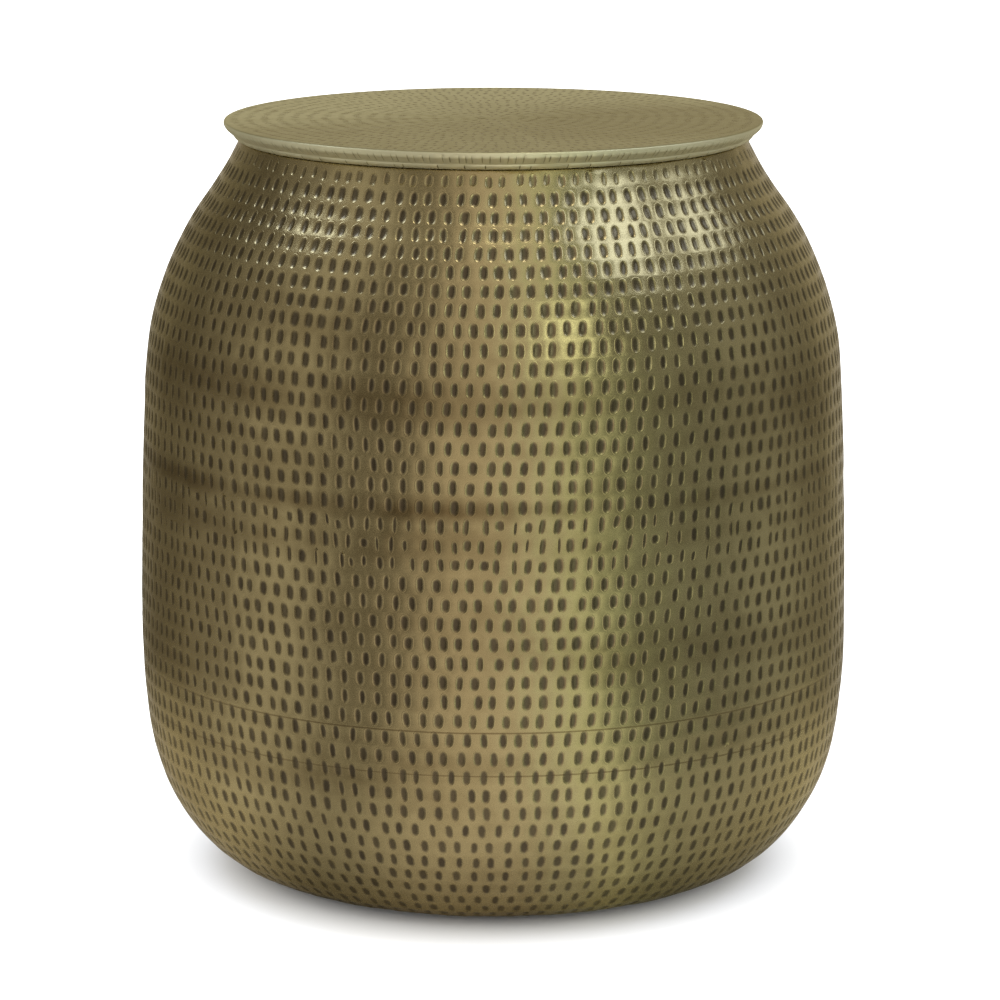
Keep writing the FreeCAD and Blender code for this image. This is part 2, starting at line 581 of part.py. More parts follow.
def make_lid_collar():
    """The ring under the lid: a flange on the rim and a wall with a tapered foot in the mouth."""
    body = make_body("lid_collar")
    profile = Profile(body, "collar_section")
    value = profile.value
    gauge, bend = value("sizes.collar_gauge"), value("sizes.collar_bend")
    flange_z, flange_r = value("sizes.seat_gap"), value(f"{HEM_R} + sizes.seam_grip")
    wall_r, inset = value(COLLAR_R), value("sizes.lead_inset")
    foot_z = flange_z - value("sizes.collar_depth")
    lead_z = foot_z + value("sizes.lead_height")
    centre = Vector(wall_r + bend, flange_z - bend, 0)
    quarter = math.pi / 2

    def face(depth):
        """Adds the flange, bend, wall and lead of one face, depth off the face towards the rim."""
        flange = profile.line(Vector(flange_r, flange_z + depth, 0), Vector(centre.x, flange_z + depth, 0))
        bend_arc = profile.arc(centre, bend + depth, quarter, 2 * quarter)
        wall = profile.line(Vector(wall_r - depth, centre.y, 0), Vector(wall_r - depth, lead_z, 0))
        lead = profile.line(Vector(wall_r - depth, lead_z, 0), Vector(wall_r - inset - depth, foot_z, 0))
        profile.tie("Horizontal", flange)
        profile.tie("Vertical", wall)
        profile.tie_all("Tangent", (flange, END, bend_arc, START), (bend_arc, END, wall, START))
        profile.tie("Coincident", wall, END, lead, START)
        return flange, bend_arc, wall, lead

    under = face(0)
    upper = face(gauge)
    flange, bend_arc, wall, lead = under
    rim = profile.line(Vector(flange_r, flange_z, 0), Vector(flange_r, flange_z + gauge, 0))
    foot = profile.line(Vector(wall_r - inset, foot_z, 0), Vector(wall_r - inset - gauge, foot_z, 0))
    profile.tie("Coincident", bend_arc, CENTRE, upper[1], CENTRE)
    profile.tie_all("Coincident", (flange, START, rim, START), (upper[0], START, rim, END),
                    (lead, END, foot, START), (upper[3], END, foot, END))
    profile.tie("Vertical", rim)
    profile.tie("Horizontal", foot)
    profile.tie("Horizontal", wall, END, upper[2], END)
    profile.size("gauge", "sizes.collar_gauge", "DistanceX", upper[2], END, wall, END)
    profile.size("foot_gauge", "sizes.collar_gauge", "DistanceX", foot, END, foot, START)
    profile.size("flange_radius", f"{HEM_R} + sizes.seam_grip", "DistanceX", *ORIGIN, flange, START)
    profile.size("flange_height", "sizes.seat_gap", "DistanceY", *ORIGIN, flange, START)
    profile.size("wall_radius", COLLAR_R, "DistanceX", *ORIGIN, wall, END)
    profile.size("bend", "sizes.collar_bend", "Radius", bend_arc)
    profile.size("depth", "sizes.collar_depth", "DistanceY", foot, START, flange, START)
    profile.size("lead_height", "sizes.lead_height", "DistanceY", foot, START, lead, START)
    profile.size("lead_inset", "sizes.lead_inset", "DistanceX", foot, START, lead, START)
    profile.revolve("collar_spinning")
    body.setExpression("Placement.Base.z", RIM_Z)
    return body


def write_parts(pieces):
    """Stops if anything failed, then writes one file for each piece."""
    doc.recompute()
    for item in doc.Objects:
        if "Invalid" in item.State or "Error" in item.State:
            raise RuntimeError(f"{item.Label} failed: {item.State}")
    for piece in pieces:
        if piece.Shape.isNull() or not piece.Shape.isValid():
            raise RuntimeError(f"{piece.Label} has no valid shape")
    os.makedirs("parts", exist_ok=True)
    for piece in pieces:
        piece.Shape.exportStep(f"parts/{piece.Label}.step")
        print(f"{piece.Label}: {len(piece.Shape.Solids)} solids, {piece.Shape.Volume / 1000:.2f} cm3")


make_sheet()
write_parts([
    make_lower_shell(),
    make_upper_shell(),
    make_waist_strap(),
    make_mouth_rim_wire(),
    make_foot_pads(),
    make_foot_screws(),
    make_foot_washers(),
    make_foot_nuts(),
    make_lid_top(),
    make_lid_collar(),
])
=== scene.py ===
"""Looks of a hammered drum side table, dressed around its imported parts.

The drum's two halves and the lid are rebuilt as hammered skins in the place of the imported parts.
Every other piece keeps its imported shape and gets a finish. Sizes are in millimetres and become
metres where a mesh or an object is made. Only the studio's floor and lights are given in metres.
"""

import logging
import math
from collections.abc import Callable, Sequence
from dataclasses import dataclass, field, replace
from enum import Enum
from functools import partial

import bpy
import numpy as np
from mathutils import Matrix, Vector


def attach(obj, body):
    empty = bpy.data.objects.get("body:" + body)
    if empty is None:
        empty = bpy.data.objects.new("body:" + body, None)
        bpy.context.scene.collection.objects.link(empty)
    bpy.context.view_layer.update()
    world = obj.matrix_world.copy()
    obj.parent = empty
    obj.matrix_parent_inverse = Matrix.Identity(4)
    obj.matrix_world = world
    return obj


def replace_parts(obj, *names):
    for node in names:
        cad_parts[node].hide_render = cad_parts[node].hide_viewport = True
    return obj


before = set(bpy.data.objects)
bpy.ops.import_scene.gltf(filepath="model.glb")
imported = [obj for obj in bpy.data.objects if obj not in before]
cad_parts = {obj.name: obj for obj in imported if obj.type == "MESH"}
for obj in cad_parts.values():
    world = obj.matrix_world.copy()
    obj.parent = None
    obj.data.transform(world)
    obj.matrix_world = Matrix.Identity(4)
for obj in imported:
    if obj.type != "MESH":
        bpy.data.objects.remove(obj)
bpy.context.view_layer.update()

MM = 0.001
QUARTER = math.pi / 2

# Segments of the seam, the same on both halves, so that they meet vertex to vertex.
SEAM_SEGMENTS = 720
# Room between a row's outer rings and the edge of its share of the profile.
ROW_GAP = 0.1
# How much more a row wanders up and down than the row before it, counted from the nearer end.
DRIFT_STEP = 0.06

# Settings of nodes that are used in many places.
SOFT_STEP = {"interpolation_type": "SMOOTHSTEP"}
OF_COLOURS = {"data_type": "RGBA"}

Array = np.ndarray
Node = bpy.types.Node
Socket = bpy.types.NodeSocket
Material = bpy.types.Material
Adder = Callable[..., Node]
Feed = Node | Socket | float | tuple[float, ...]
Triple = tuple[float, float, float]
Ramp = tuple[float, float, float, float]
log = logging.getLogger("drum_table")


# Profiles. A point of a profile is a complex number: radius from the axis, and height.


@dataclass(frozen=True)
class Arc:
    """An arc from one angle to another. Its outward side is on the right of its direction."""

    centre: complex
    radius: float
    start: float
    end: float

    @property
    def length(self) -> float:
        """Length along the arc."""
        return self.radius * abs(self.end - self.start)

    @property
    def turn(self) -> float:
        """1 for an arc that runs anticlockwise, and -1 for one that runs clockwise."""
        return math.copysign(1, self.end - self.start)

    def at(self, distance: Array) -> tuple[Array, Array]:
        """Gives the points and outward normals at distances from the start."""
        ray = np.exp(1j * (self.start + self.turn * distance / self.radius))
        return self.centre + self.radius * ray, self.turn * ray

    def inset(self, depth: float) -> "Arc":
        """Gives the arc that lies depth behind this one."""
        return Arc(self.centre, self.radius - self.turn * depth, self.start, self.end)

    def reversed(self) -> "Arc":
        """Gives the same arc, run the other way."""
        return Arc(self.centre, self.radius, self.end, self.start)


@dataclass(frozen=True)
class Line:
    """A straight stretch. Its outward side is on the right of its direction."""

    start: complex
    end: complex

    @property
    def length(self) -> float:
        """Length of the stretch."""
        return abs(self.end - self.start)

    @property
    def along(self) -> complex:
        """Unit vector from the start to the end."""
        return (self.end - self.start) / self.length

    def at(self, distance: Array) -> tuple[Array, Array]:
        """Gives the points and outward normals at distances from the start."""
        return self.start + self.along * distance, np.full(distance.shape, -1j * self.along)

    def inset(self, depth: float) -> "Line":
        """Gives the stretch that lies depth behind this one."""
        return Line(self.start + 1j * self.along * depth, self.end + 1j * self.along * depth)

    def reversed(self) -> "Line":
        """Gives the same stretch, run the other way."""
        return Line(self.end, self.start)


@dataclass(frozen=True)
class Path:
    """Arcs and lines end to end, with their outward sides on the right."""

    segments: tuple[Arc | Line, ...]

    @property
    def ends(self) -> Array:
        """Distance from the path's start to the end of each segment."""
        return np.cumsum([segment.length for segment in self.segments])

    def at(self, distance: Array) -> tuple[Array, Array]:
        """Gives points and outward normals.

        Args:
            distance: Distances along the path, of any shape.

        Returns:
            Points and unit normals, as complex numbers of the same shape.
        """
        points = np.empty(distance.shape, complex)
        normals = np.empty(distance.shape, complex)
        ends = self.ends
        which = np.minimum(np.searchsorted(ends, distance), len(self.segments) - 1)
        for i, segment in enumerate(self.segments):
            here = which == i
            points[here], normals[here] = segment.at(distance[here] - (ends[i] - segment.length))
        return points, normals

    def behind(self, depth: float) -> "Path":
        """Gives the path of the sheet's other face, run the other way."""
        return Path(tuple(segment.inset(depth).reversed() for segment in self.segments[::-1]))


@dataclass(frozen=True)
class DrumShape:
    """The drum's wall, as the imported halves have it."""

    gauge: float = 1.0
    belly_radius: float = 203.2
    belly_height: float = 134.8
    lower_side_radius: float = 349.0
    upper_side_radius: float = 2840.0
    base_inset: float = 77.2
    heel_radius: float = 60.8
    heel_turn: float = math.radians(48.0)
    waist_above_belly: float = 96.0
    shoulder_above_waist: float = 57.0
    rim_above_shoulder: float = 133.2
    mouth_inset: float = 65.0
    neck_lean: float = math.radians(26.0)
    neck_radius: float = 214.0
    curl_radius: float = 3.05
    curl_turn: float = math.radians(285.0)
    base_clearance: float = 1.5
    recess_depth: float = 6.0
    recess_bend: float = 4.0

    @property
    def waist_z(self) -> float:
        """Height of the welded seam."""
        return self.base_clearance + self.belly_height + self.waist_above_belly

    @property
    def rim_z(self) -> float:
        """Height of the rolled rim's top."""
        return self.waist_z + self.shoulder_above_waist + self.rim_above_shoulder

    @property
    def side_centre(self) -> complex:
        """Centre of the arc above the widest circle."""
        belly_z = self.base_clearance + self.belly_height
        return complex(self.belly_radius - self.upper_side_radius, belly_z)

    @property
    def waist_angle(self) -> float:
        """Angle of the seam on the side's arc."""
        return math.asin(self.waist_above_belly / self.upper_side_radius)

    def lower_wall(self) -> Path:
        """Draws the lower half's outer face, from the middle of the floor up to the seam.

        Returns:
            The path: floor, two bends of the recess, heel, corner, lower side and upper side. The
            corner's arc is the one that is tangent to heel and lower side.
        """
        base_r, side = self.belly_radius - self.base_inset, self.lower_side_radius
        low = complex(self.belly_radius - side, self.base_clearance + self.belly_height)
        heel = complex(base_r, self.base_clearance + self.heel_radius)
        heel_end = self.heel_turn - QUARTER
        outward = complex(math.cos(heel_end), math.sin(heel_end))
        from_low = heel + self.heel_radius * outward - low
        reach = side - (outward * from_low.conjugate()).real
        corner_radius = (side**2 - abs(from_low) ** 2) / (2 * reach)
        corner = low + from_low - outward * corner_radius
        corner_end = float(np.angle(corner - low))
        bends = 2 * self.recess_bend + self.gauge
        turn = math.acos(1 - self.recess_depth / bends)
        floor_z = self.base_clearance + self.recess_depth
        floor_end = complex(base_r - bends * math.sin(turn), floor_z)
        ring_bend = self.recess_bend + self.gauge
        ring = complex(base_r, self.base_clearance + ring_bend)
        return Path((
            Line(complex(0, floor_z), floor_end),
            Arc(floor_end - 1j * self.recess_bend, self.recess_bend, QUARTER, QUARTER - turn),
            Arc(ring, ring_bend, -QUARTER - turn, -QUARTER),
            Arc(heel, self.heel_radius, -QUARTER, heel_end),
            Arc(corner, corner_radius, heel_end, corner_end),
            Arc(low, side, corner_end, 0.0),
            Arc(self.side_centre, self.upper_side_radius, 0.0, self.waist_angle),
        ))

    def upper_wall(self) -> Path:
        """Draws the upper half's outer face, from the seam up and round the rolled rim.

        Returns:
            The path: side, shoulder, neck and curl. The shoulder's arc is the one that is tangent
            to side and neck.
        """
        rise = self.waist_above_belly + self.shoulder_above_waist
        side_end = math.asin(rise / self.upper_side_radius)
        mouth_r = self.belly_radius - self.mouth_inset
        curl = complex(mouth_r + self.curl_radius, self.rim_z - self.curl_radius)
        neck = curl + (self.curl_radius + self.neck_radius) * np.exp(1j * self.neck_lean)
        outward = np.exp(1j * side_end)
        from_neck = self.side_centre + self.upper_side_radius * outward - neck
        reach = self.neck_radius + (outward * np.conj(from_neck)).real
        shoulder_radius = (abs(from_neck) ** 2 - self.neck_radius**2) / (2 * reach)
        shoulder = neck + from_neck - outward * shoulder_radius
        shoulder_end = float(np.angle(neck - shoulder))
        neck_start, neck_end = shoulder_end + math.pi, self.neck_lean + math.pi
        return Path((
            Arc(self.side_centre, self.upper_side_radius, self.waist_angle, side_end),
            Arc(complex(shoulder), shoulder_radius, side_end, shoulder_end),
            Arc(complex(neck), self.neck_radius, neck_start, neck_end),
            Arc(curl, self.curl_radius, self.neck_lean, self.neck_lean + self.curl_turn),
        ))


@dataclass(frozen=True)
class LidShape:
    """The lid's sheet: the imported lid's, with a fuller nose and hem.

    Heights are above the drum's rim.
    """

    gauge: float = 1.0
    rise: float = 9.3
    hem_radius: float = 144.4
    hem_z: float = -1.0
    hem_bend: float = 1.8
    hem_face: float = 4.0
    crease_radius: float = 147.9
    crease_z: float = 2.1
    lip_radius: float = 152.9
    lip_bend: float = 1.2
    nose_radius: float = 4.0

    def sheet(self, rim_z: float) -> Path:
        """Draws the lid's outer face, from the hem's edge up round the lip and in to the middle.

        Args:
            rim_z: Height of the drum's rim.

        Returns:
            The path: bend, hem, flank, nose, lip and top. Its crease is where hem and flank meet.
        """
        top = rim_z + self.rise
        bend = complex(self.hem_radius, rim_z + self.hem_z + self.hem_bend)
        crease = complex(self.crease_radius, rim_z + self.crease_z)
        lip = complex(self.lip_radius - self.lip_bend, top - self.lip_bend)
        nose = complex(self.lip_radius - self.nose_radius, top - self.lip_bend)
        near, far = self.hem_face - self.hem_bend, self.hem_face
        gap = abs(crease - bend)
        reach = (gap**2 + near**2 - far**2) / (2 * gap)
        hem = bend + (crease - bend) / gap * complex(reach, math.sqrt(near**2 - reach**2))
        hem_start, hem_end = float(np.angle(bend - hem)), float(np.angle(crease - hem))
        down = crease - nose
        nose_start = float(np.angle(down)) + math.acos(self.nose_radius / abs(down))
        nose_point = nose + self.nose_radius * np.exp(1j * nose_start)
        return Path((
            Arc(bend, self.hem_bend, -QUARTER, hem_start),
            Arc(complex(hem), self.hem_face, hem_start, hem_end),
            Line(crease, complex(nose_point)),
            Arc(nose, self.nose_radius, nose_start, 0.0),
            Arc(lip, self.lip_bend, 0.0, QUARTER),
            Line(complex(lip.real, top), complex(0, top)),
        ))


# Hammered skins.


@dataclass(frozen=True)
class Strike:
    """How one row of hammer marks is struck."""

    width: float = 5.0  # Round the axis.
    height: float = 9.4  # Along the profile.
    pitch: float = 9.1  # From mark to mark.
    reach: float = 5.1  # Half of the row's share of the profile.
    depth: float = 0.6
    stray: float = 0.55  # Sideways.
    lean: float = 0.08  # As a slope.
    spread: float = 0.1  # Of the widths, as a share. The heights differ half as much.
    drift: float = 0.0  # Of the whole row, up and down.
    dark: float = 1.0  # Strength of the patina in the marks.
    rows: tuple[float, ...] = (-1.06, -0.56, 0.0, 0.56, 1.06)  # In shares of half the height.


# The rows next to the seam, which were hammered again, less evenly, when it had been welded.
WAIST_STRIKE = Strike(4.5, 8.6, 8.0, depth=0.5, stray=0.9, lean=0.12, spread=0.35)


@dataclass(frozen=True)
class Dents:
    """Slow waves that hammering leaves in the sheet, as a sum of seeded cosines."""

    seed: int
    height: float
    shortest: float
    longest: float
    radius: float
    waves: int = 28

    def lift(self, angle: Array, z: Array) -> Array:
        """Gives how far the waves lift the sheet.

        Args:
            angle: Angles round the axis.
            z: Heights, of a shape that goes with the angles'.

        Returns:
            The lifts.
        """
        rng = np.random.default_rng(self.seed)
        total = np.zeros(np.broadcast(angle, z).shape)
        for _ in range(self.waves):
            number = math.tau / rng.uniform(self.shortest, self.longest)
            heading = rng.uniform(0, math.tau)
            around = round(number * math.cos(heading) * self.radius)
            phase = rng.uniform(0, math.tau)
            total += np.cos(around * angle + number * math.sin(heading) * z + phase)
        return total * self.height * math.sqrt(2 / self.waves)


@dataclass
class Ring:
    """One ring of a skin's vertices: their numbers and their angles round the axis."""

    numbers: Array
    angles: Array

    def closed(self) -> tuple[Array, Array]:
        """Sorts the ring by its angles, once round.

        Returns:
            The numbers and the angles, both with the first one again at the end.
        """
        angles = self.angles % math.tau
        order = np.argsort(angles)
        around = np.append(angles[order], math.tau + angles[order[0]])
        return self.numbers[np.append(order, order[0])], around


@dataclass
class Skin:
    """A mesh that grows ring by ring along a path, with each face's place in its hammer mark."""

    dents: Dents
    columns: tuple[float, ...] = (-0.64, 0.0, 0.64)  # Of a mark, in shares of half its width.
    no_mark: float = 3.0  # Place of a face outside every mark. A mark's edge is at 1.
    fewest: int = 6  # Marks in a row.
    widest: float = 0.42  # Half width, as a share of the distance from mark to mark.
    narrowest: float = 0.35  # Half width, as a share of the style's width.
    deepest: float = 1.1  # As a share of the style's depth.
    faintest: float = 0.85  # As a share of the style's darkness.
    bowl: float = 1.3  # Power that rounds a mark's floor.
    slide: float = 0.5  # Up and down, as a share of the room that a mark leaves.
    lean_wave: tuple[int, float] = (2, 1.9)  # Turns and phase of the lean's change round the drum.
    drift_wave: tuple[int, float] = (3, 1.3)  # Turns and phase of a row's drift.
    drift_ripple: tuple[int, float] = (7, 0.6)  # Turns and share of the shorter drift on it.
    ripple_run: float = 60.0  # Distance over which that ripple's phase changes by 1.
    points: list[Array] = field(default_factory=list)
    faces: list[list[int]] = field(default_factory=list)
    places: list[Array] = field(default_factory=list)
    tones: list[Array] = field(default_factory=list)
    vertices: int = 0
    edge: Ring | None = None

    def ring(self, profile: Array, angles: Array) -> Ring:
        """Adds a ring of vertices, without faces.

        Args:
            profile: A point of the profile for each vertex.
            angles: The vertices' angles round the axis.

        Returns:
            The ring.
        """
        radius, height = profile.real, profile.imag
        self.points.append(np.stack([radius * np.cos(angles), radius * np.sin(angles), height], -1))
        numbers = np.arange(self.vertices, self.vertices + angles.size)
        self.vertices += angles.size
        return Ring(numbers, angles)

    def plain_faces(self, faces: list[list[int]]) -> None:
        """Adds faces that lie outside every hammer mark.

        Args:
            faces: Each face's vertex numbers.
        """
        self.faces += faces
        self.places.append(np.full((sum(map(len, faces)), 2), self.no_mark))
        self.tones.append(np.zeros(len(faces)))

    def bridge(self, upper: Ring) -> None:
        """Joins the skin's open edge to a ring with triangles, and makes that ring the open edge.

        Args:
            upper: The ring, which may have another number of vertices than the edge.
        """
        if self.edge is not None:
            low, low_angles = self.edge.closed()
            high, high_angles = upper.closed()
            last_low, last_high = low.size - 1, high.size - 1
            faces, i, j = [], 0, 0
            while i < last_low or j < last_high:
                low_next = i < last_low and (j == last_high or low_angles[i + 1] <= high_angles[j + 1])
                if low_next:
                    faces.append([low[i], low[i + 1], high[j]])
                    i += 1
                else:
                    faces.append([low[i], high[j + 1], high[j]])
                    j += 1
            self.plain_faces(faces)
        self.edge = upper

    def crease(self) -> None:
        """Doubles the open edge, so that the sheet bends sharply there."""
        self.points.append(np.concatenate(self.points)[self.edge.numbers])
        numbers = np.arange(self.vertices, self.vertices + self.edge.numbers.size)
        self.vertices += numbers.size
        self.edge = Ring(numbers, self.edge.angles)

    def smooth(self, path: Path, distances: Sequence[float] | Array, segments: int,
               dented: float = 0.0) -> None:
        """Adds plain rings along a path.

        Args:
            path: The path that the rings lie on.
            distances: Where they lie along it.
            segments: How many vertices each has.
            dented: Share of the dents that they take.
        """
        angles = np.arange(segments) * math.tau / segments
        for distance in distances:
            point, normal = path.at(np.full(segments, distance))
            lift = dented * self.dents.lift(angles, point.imag)
            self.bridge(self.ring(point + normal * lift, angles))

    def middle(self, point: complex, facing_up: bool) -> None:
        """Closes the skin's open edge with a fan to a vertex on the axis.

        Args:
            point: The vertex's place in the profile.
            facing_up: Whether the fan faces up or down.
        """
        centre = self.ring(np.array([point]), np.zeros(1)).numbers[0]
        around, _ = self.edge.closed()
        pairs = zip(around, around[1:])
        self.plain_faces([[a, b, centre] if facing_up else [b, a, centre] for a, b in pairs])

    def strike(self, path: Path, distance: float, style: Strike, seed: int) -> None:
        """Adds one row of hammer marks.

        Each mark has columns of vertices of its own, and shares a ridge with the mark before it.

        Args:
            path: The path that the row lies on.
            distance: Where the row's middle is, along the path.
            style: How the row is struck.
            seed: Seed of the row's strays.
        """
        rng = np.random.default_rng(seed)
        radius = path.at(np.array([distance]))[0].real[0]
        count = max(self.fewest, round(math.tau * radius / style.pitch))
        cell = math.tau * radius / count
        places = (np.arange(count) + rng.uniform())[None, :, None] * math.tau / count

        def near(share: float) -> Array:
            """Gives one number near 0 for each mark."""
            return np.clip(rng.normal(0, share, count), -2 * share, 2 * share)[None, :, None]

        # Where each mark is, and how large.
        shift = near(style.stray)
        turns, phase = self.lean_wave
        lean = style.lean * np.cos(turns * places + phase) + near(style.lean / 2)
        room = self.widest * cell - np.abs(lean) * style.reach
        farthest = room - self.narrowest * style.width
        shift = np.clip(shift, -farthest, farthest)
        half_w = np.minimum(style.width / 2 * (1 + near(style.spread)), room - np.abs(shift))
        half_h = np.minimum(style.height / 2 * (1 + near(style.spread / 2)),
                            style.reach / style.rows[-1])
        depth = style.depth * np.minimum(half_w / (style.width / 2), self.deepest)

        # Its vertices: x round the axis, y along the profile, u and v as shares of its half sizes.
        v = np.array(style.rows)[:, None, None] + np.zeros((1, count, 1))
        y = v * half_h + near(self.slide) * (style.reach - style.rows[-1] * half_h)
        centre = shift + lean * y
        ridge = (centre - half_w + np.roll(centre + half_w, 1, axis=1) - cell) / 2
        x = np.concatenate([ridge, centre + half_w * np.array(self.columns)], axis=-1)
        u = (np.concatenate([x, np.roll(ridge, -1, axis=1) + cell], axis=-1) - centre) / half_w
        blunt = v * np.sqrt(np.abs(v)) + np.zeros_like(u)
        lift = -depth * np.clip(1 - u**2 - blunt**2, 0, 1)[..., :-1] ** self.bowl
        angles = places + x / radius
        (turns, phase), (ripples, share) = self.drift_wave, self.drift_ripple
        ripple = share * np.cos(ripples * angles + distance / self.ripple_run)
        drift = style.drift * (np.cos(turns * angles + phase) + ripple)
        point, normal = path.at(distance + y + drift)
        point = point + normal * (lift + self.dents.lift(angles, point.imag))
        rings = [self.ring(point[i].ravel(), angles[i].ravel()) for i in range(len(style.rows))]

        # Its faces, and where their corners are in the mark.
        self.bridge(rings[0])
        marks = np.stack([u, blunt], -1)
        tone = np.repeat(style.dark * rng.uniform(self.faintest, 1.0, count), x.shape[-1])
        for low, high, low_mark, high_mark in zip(rings, rings[1:], marks, marks[1:]):
            quads = [low.numbers, np.roll(low.numbers, -1), np.roll(high.numbers, -1), high.numbers]
            corners = [low_mark[:, :-1], low_mark[:, 1:], high_mark[:, 1:], high_mark[:, :-1]]
            self.faces += np.stack(quads, -1).tolist()
            self.places.append(np.stack(corners, 2).reshape(-1, 2))
            self.tones.append(tone)
        self.edge = rings[-1]

    def make(self, name: str, material: Material) -> bpy.types.Object:
        """Makes the object, in metres, with smooth faces and the hammer marks' places.

        Args:
            name: The object's name.
            material: Its material.

        Returns:
            The object.
        """
        mesh = bpy.data.meshes.new(name)
        mesh.from_pydata((np.concatenate(self.points) * MM).tolist(), [], self.faces)
        mesh.uv_layers.new(name="mark").data.foreach_set("uv", np.concatenate(self.places).ravel())
        tone = mesh.attributes.new("tone", "FLOAT", "FACE")
        tone.data.foreach_set("value", np.concatenate(self.tones))
        mesh.shade_smooth()
        mesh.materials.append(material)
        piece = bpy.data.objects.new(name, mesh)
        bpy.context.scene.collection.objects.link(piece)
        return piece


# Finishes.


def linear(colour: str) -> tuple[float, float, float, float]:
    """Turns an sRGB hex colour into linear light."""
    values = [int(colour[i : i + 2], 16) / 255 for i in (1, 3, 5)]
    return (*(c / 12.92 if c <= 0.04045 else ((c + 0.055) / 1.055) ** 2.4 for c in values), 1.0)


def add_node(tree: bpy.types.NodeTree, kind: str, inputs: Sequence[Feed] | dict[str, Feed] = (),
             **settings: object) -> Node:
    """Adds a node.

    Args:
        tree: The tree that it goes into.
        kind: The node's type, without its ShaderNode prefix.
        inputs: What its inputs get, in order or by name: a socket or a value, or a node, which
            stands for the first of its outputs that is in use.
        settings: The node's own properties.

    Returns:
        The node.
    """
    node = tree.nodes.new("ShaderNode" + kind)
    for name, value in settings.items():
        setattr(node, name, value)
    for name, feed in inputs.items() if isinstance(inputs, dict) else enumerate(inputs):
        if isinstance(feed, Node):
            feed = next(socket for socket in feed.outputs if socket.enabled)
        if isinstance(feed, Socket):
            tree.links.new(feed, node.inputs[name])
        else:
            node.inputs[name].default_value = feed
    return node


def new_material(name: str) -> tuple[Material, Adder]:
    """Makes a material with an empty tree.

    Args:
        name: The material's name.

    Returns:
        The material, and the function that adds a node to it.
    """
    material = bpy.data.materials.new(name)
    material.use_nodes = True
    material.node_tree.nodes.clear()
    return material, partial(add_node, material.node_tree)


@dataclass(frozen=True)
class Patches:
    """A pattern of soft patches: their size, and the ramp that turns their noise into strengths.

    A ramp's first two numbers say between which values it runs, and its last two the strengths.
    """

    size: float
    ramp: Ramp
    detail: float = 3.0

    def lay(self, add: Adder, place: Node | Socket) -> Node:
        """Adds the pattern at a place."""
        noise = add("TexNoise", {"Vector": place, "Scale": 1 / (self.size * MM), "Detail": self.detail})
        return add("MapRange", [noise, *self.ramp], **SOFT_STEP)


@dataclass(frozen=True)
class DarkBand:
    """A dark brown band round the drum: its height, half its width, its strength."""

    height: float
    reach: float
    strength: float


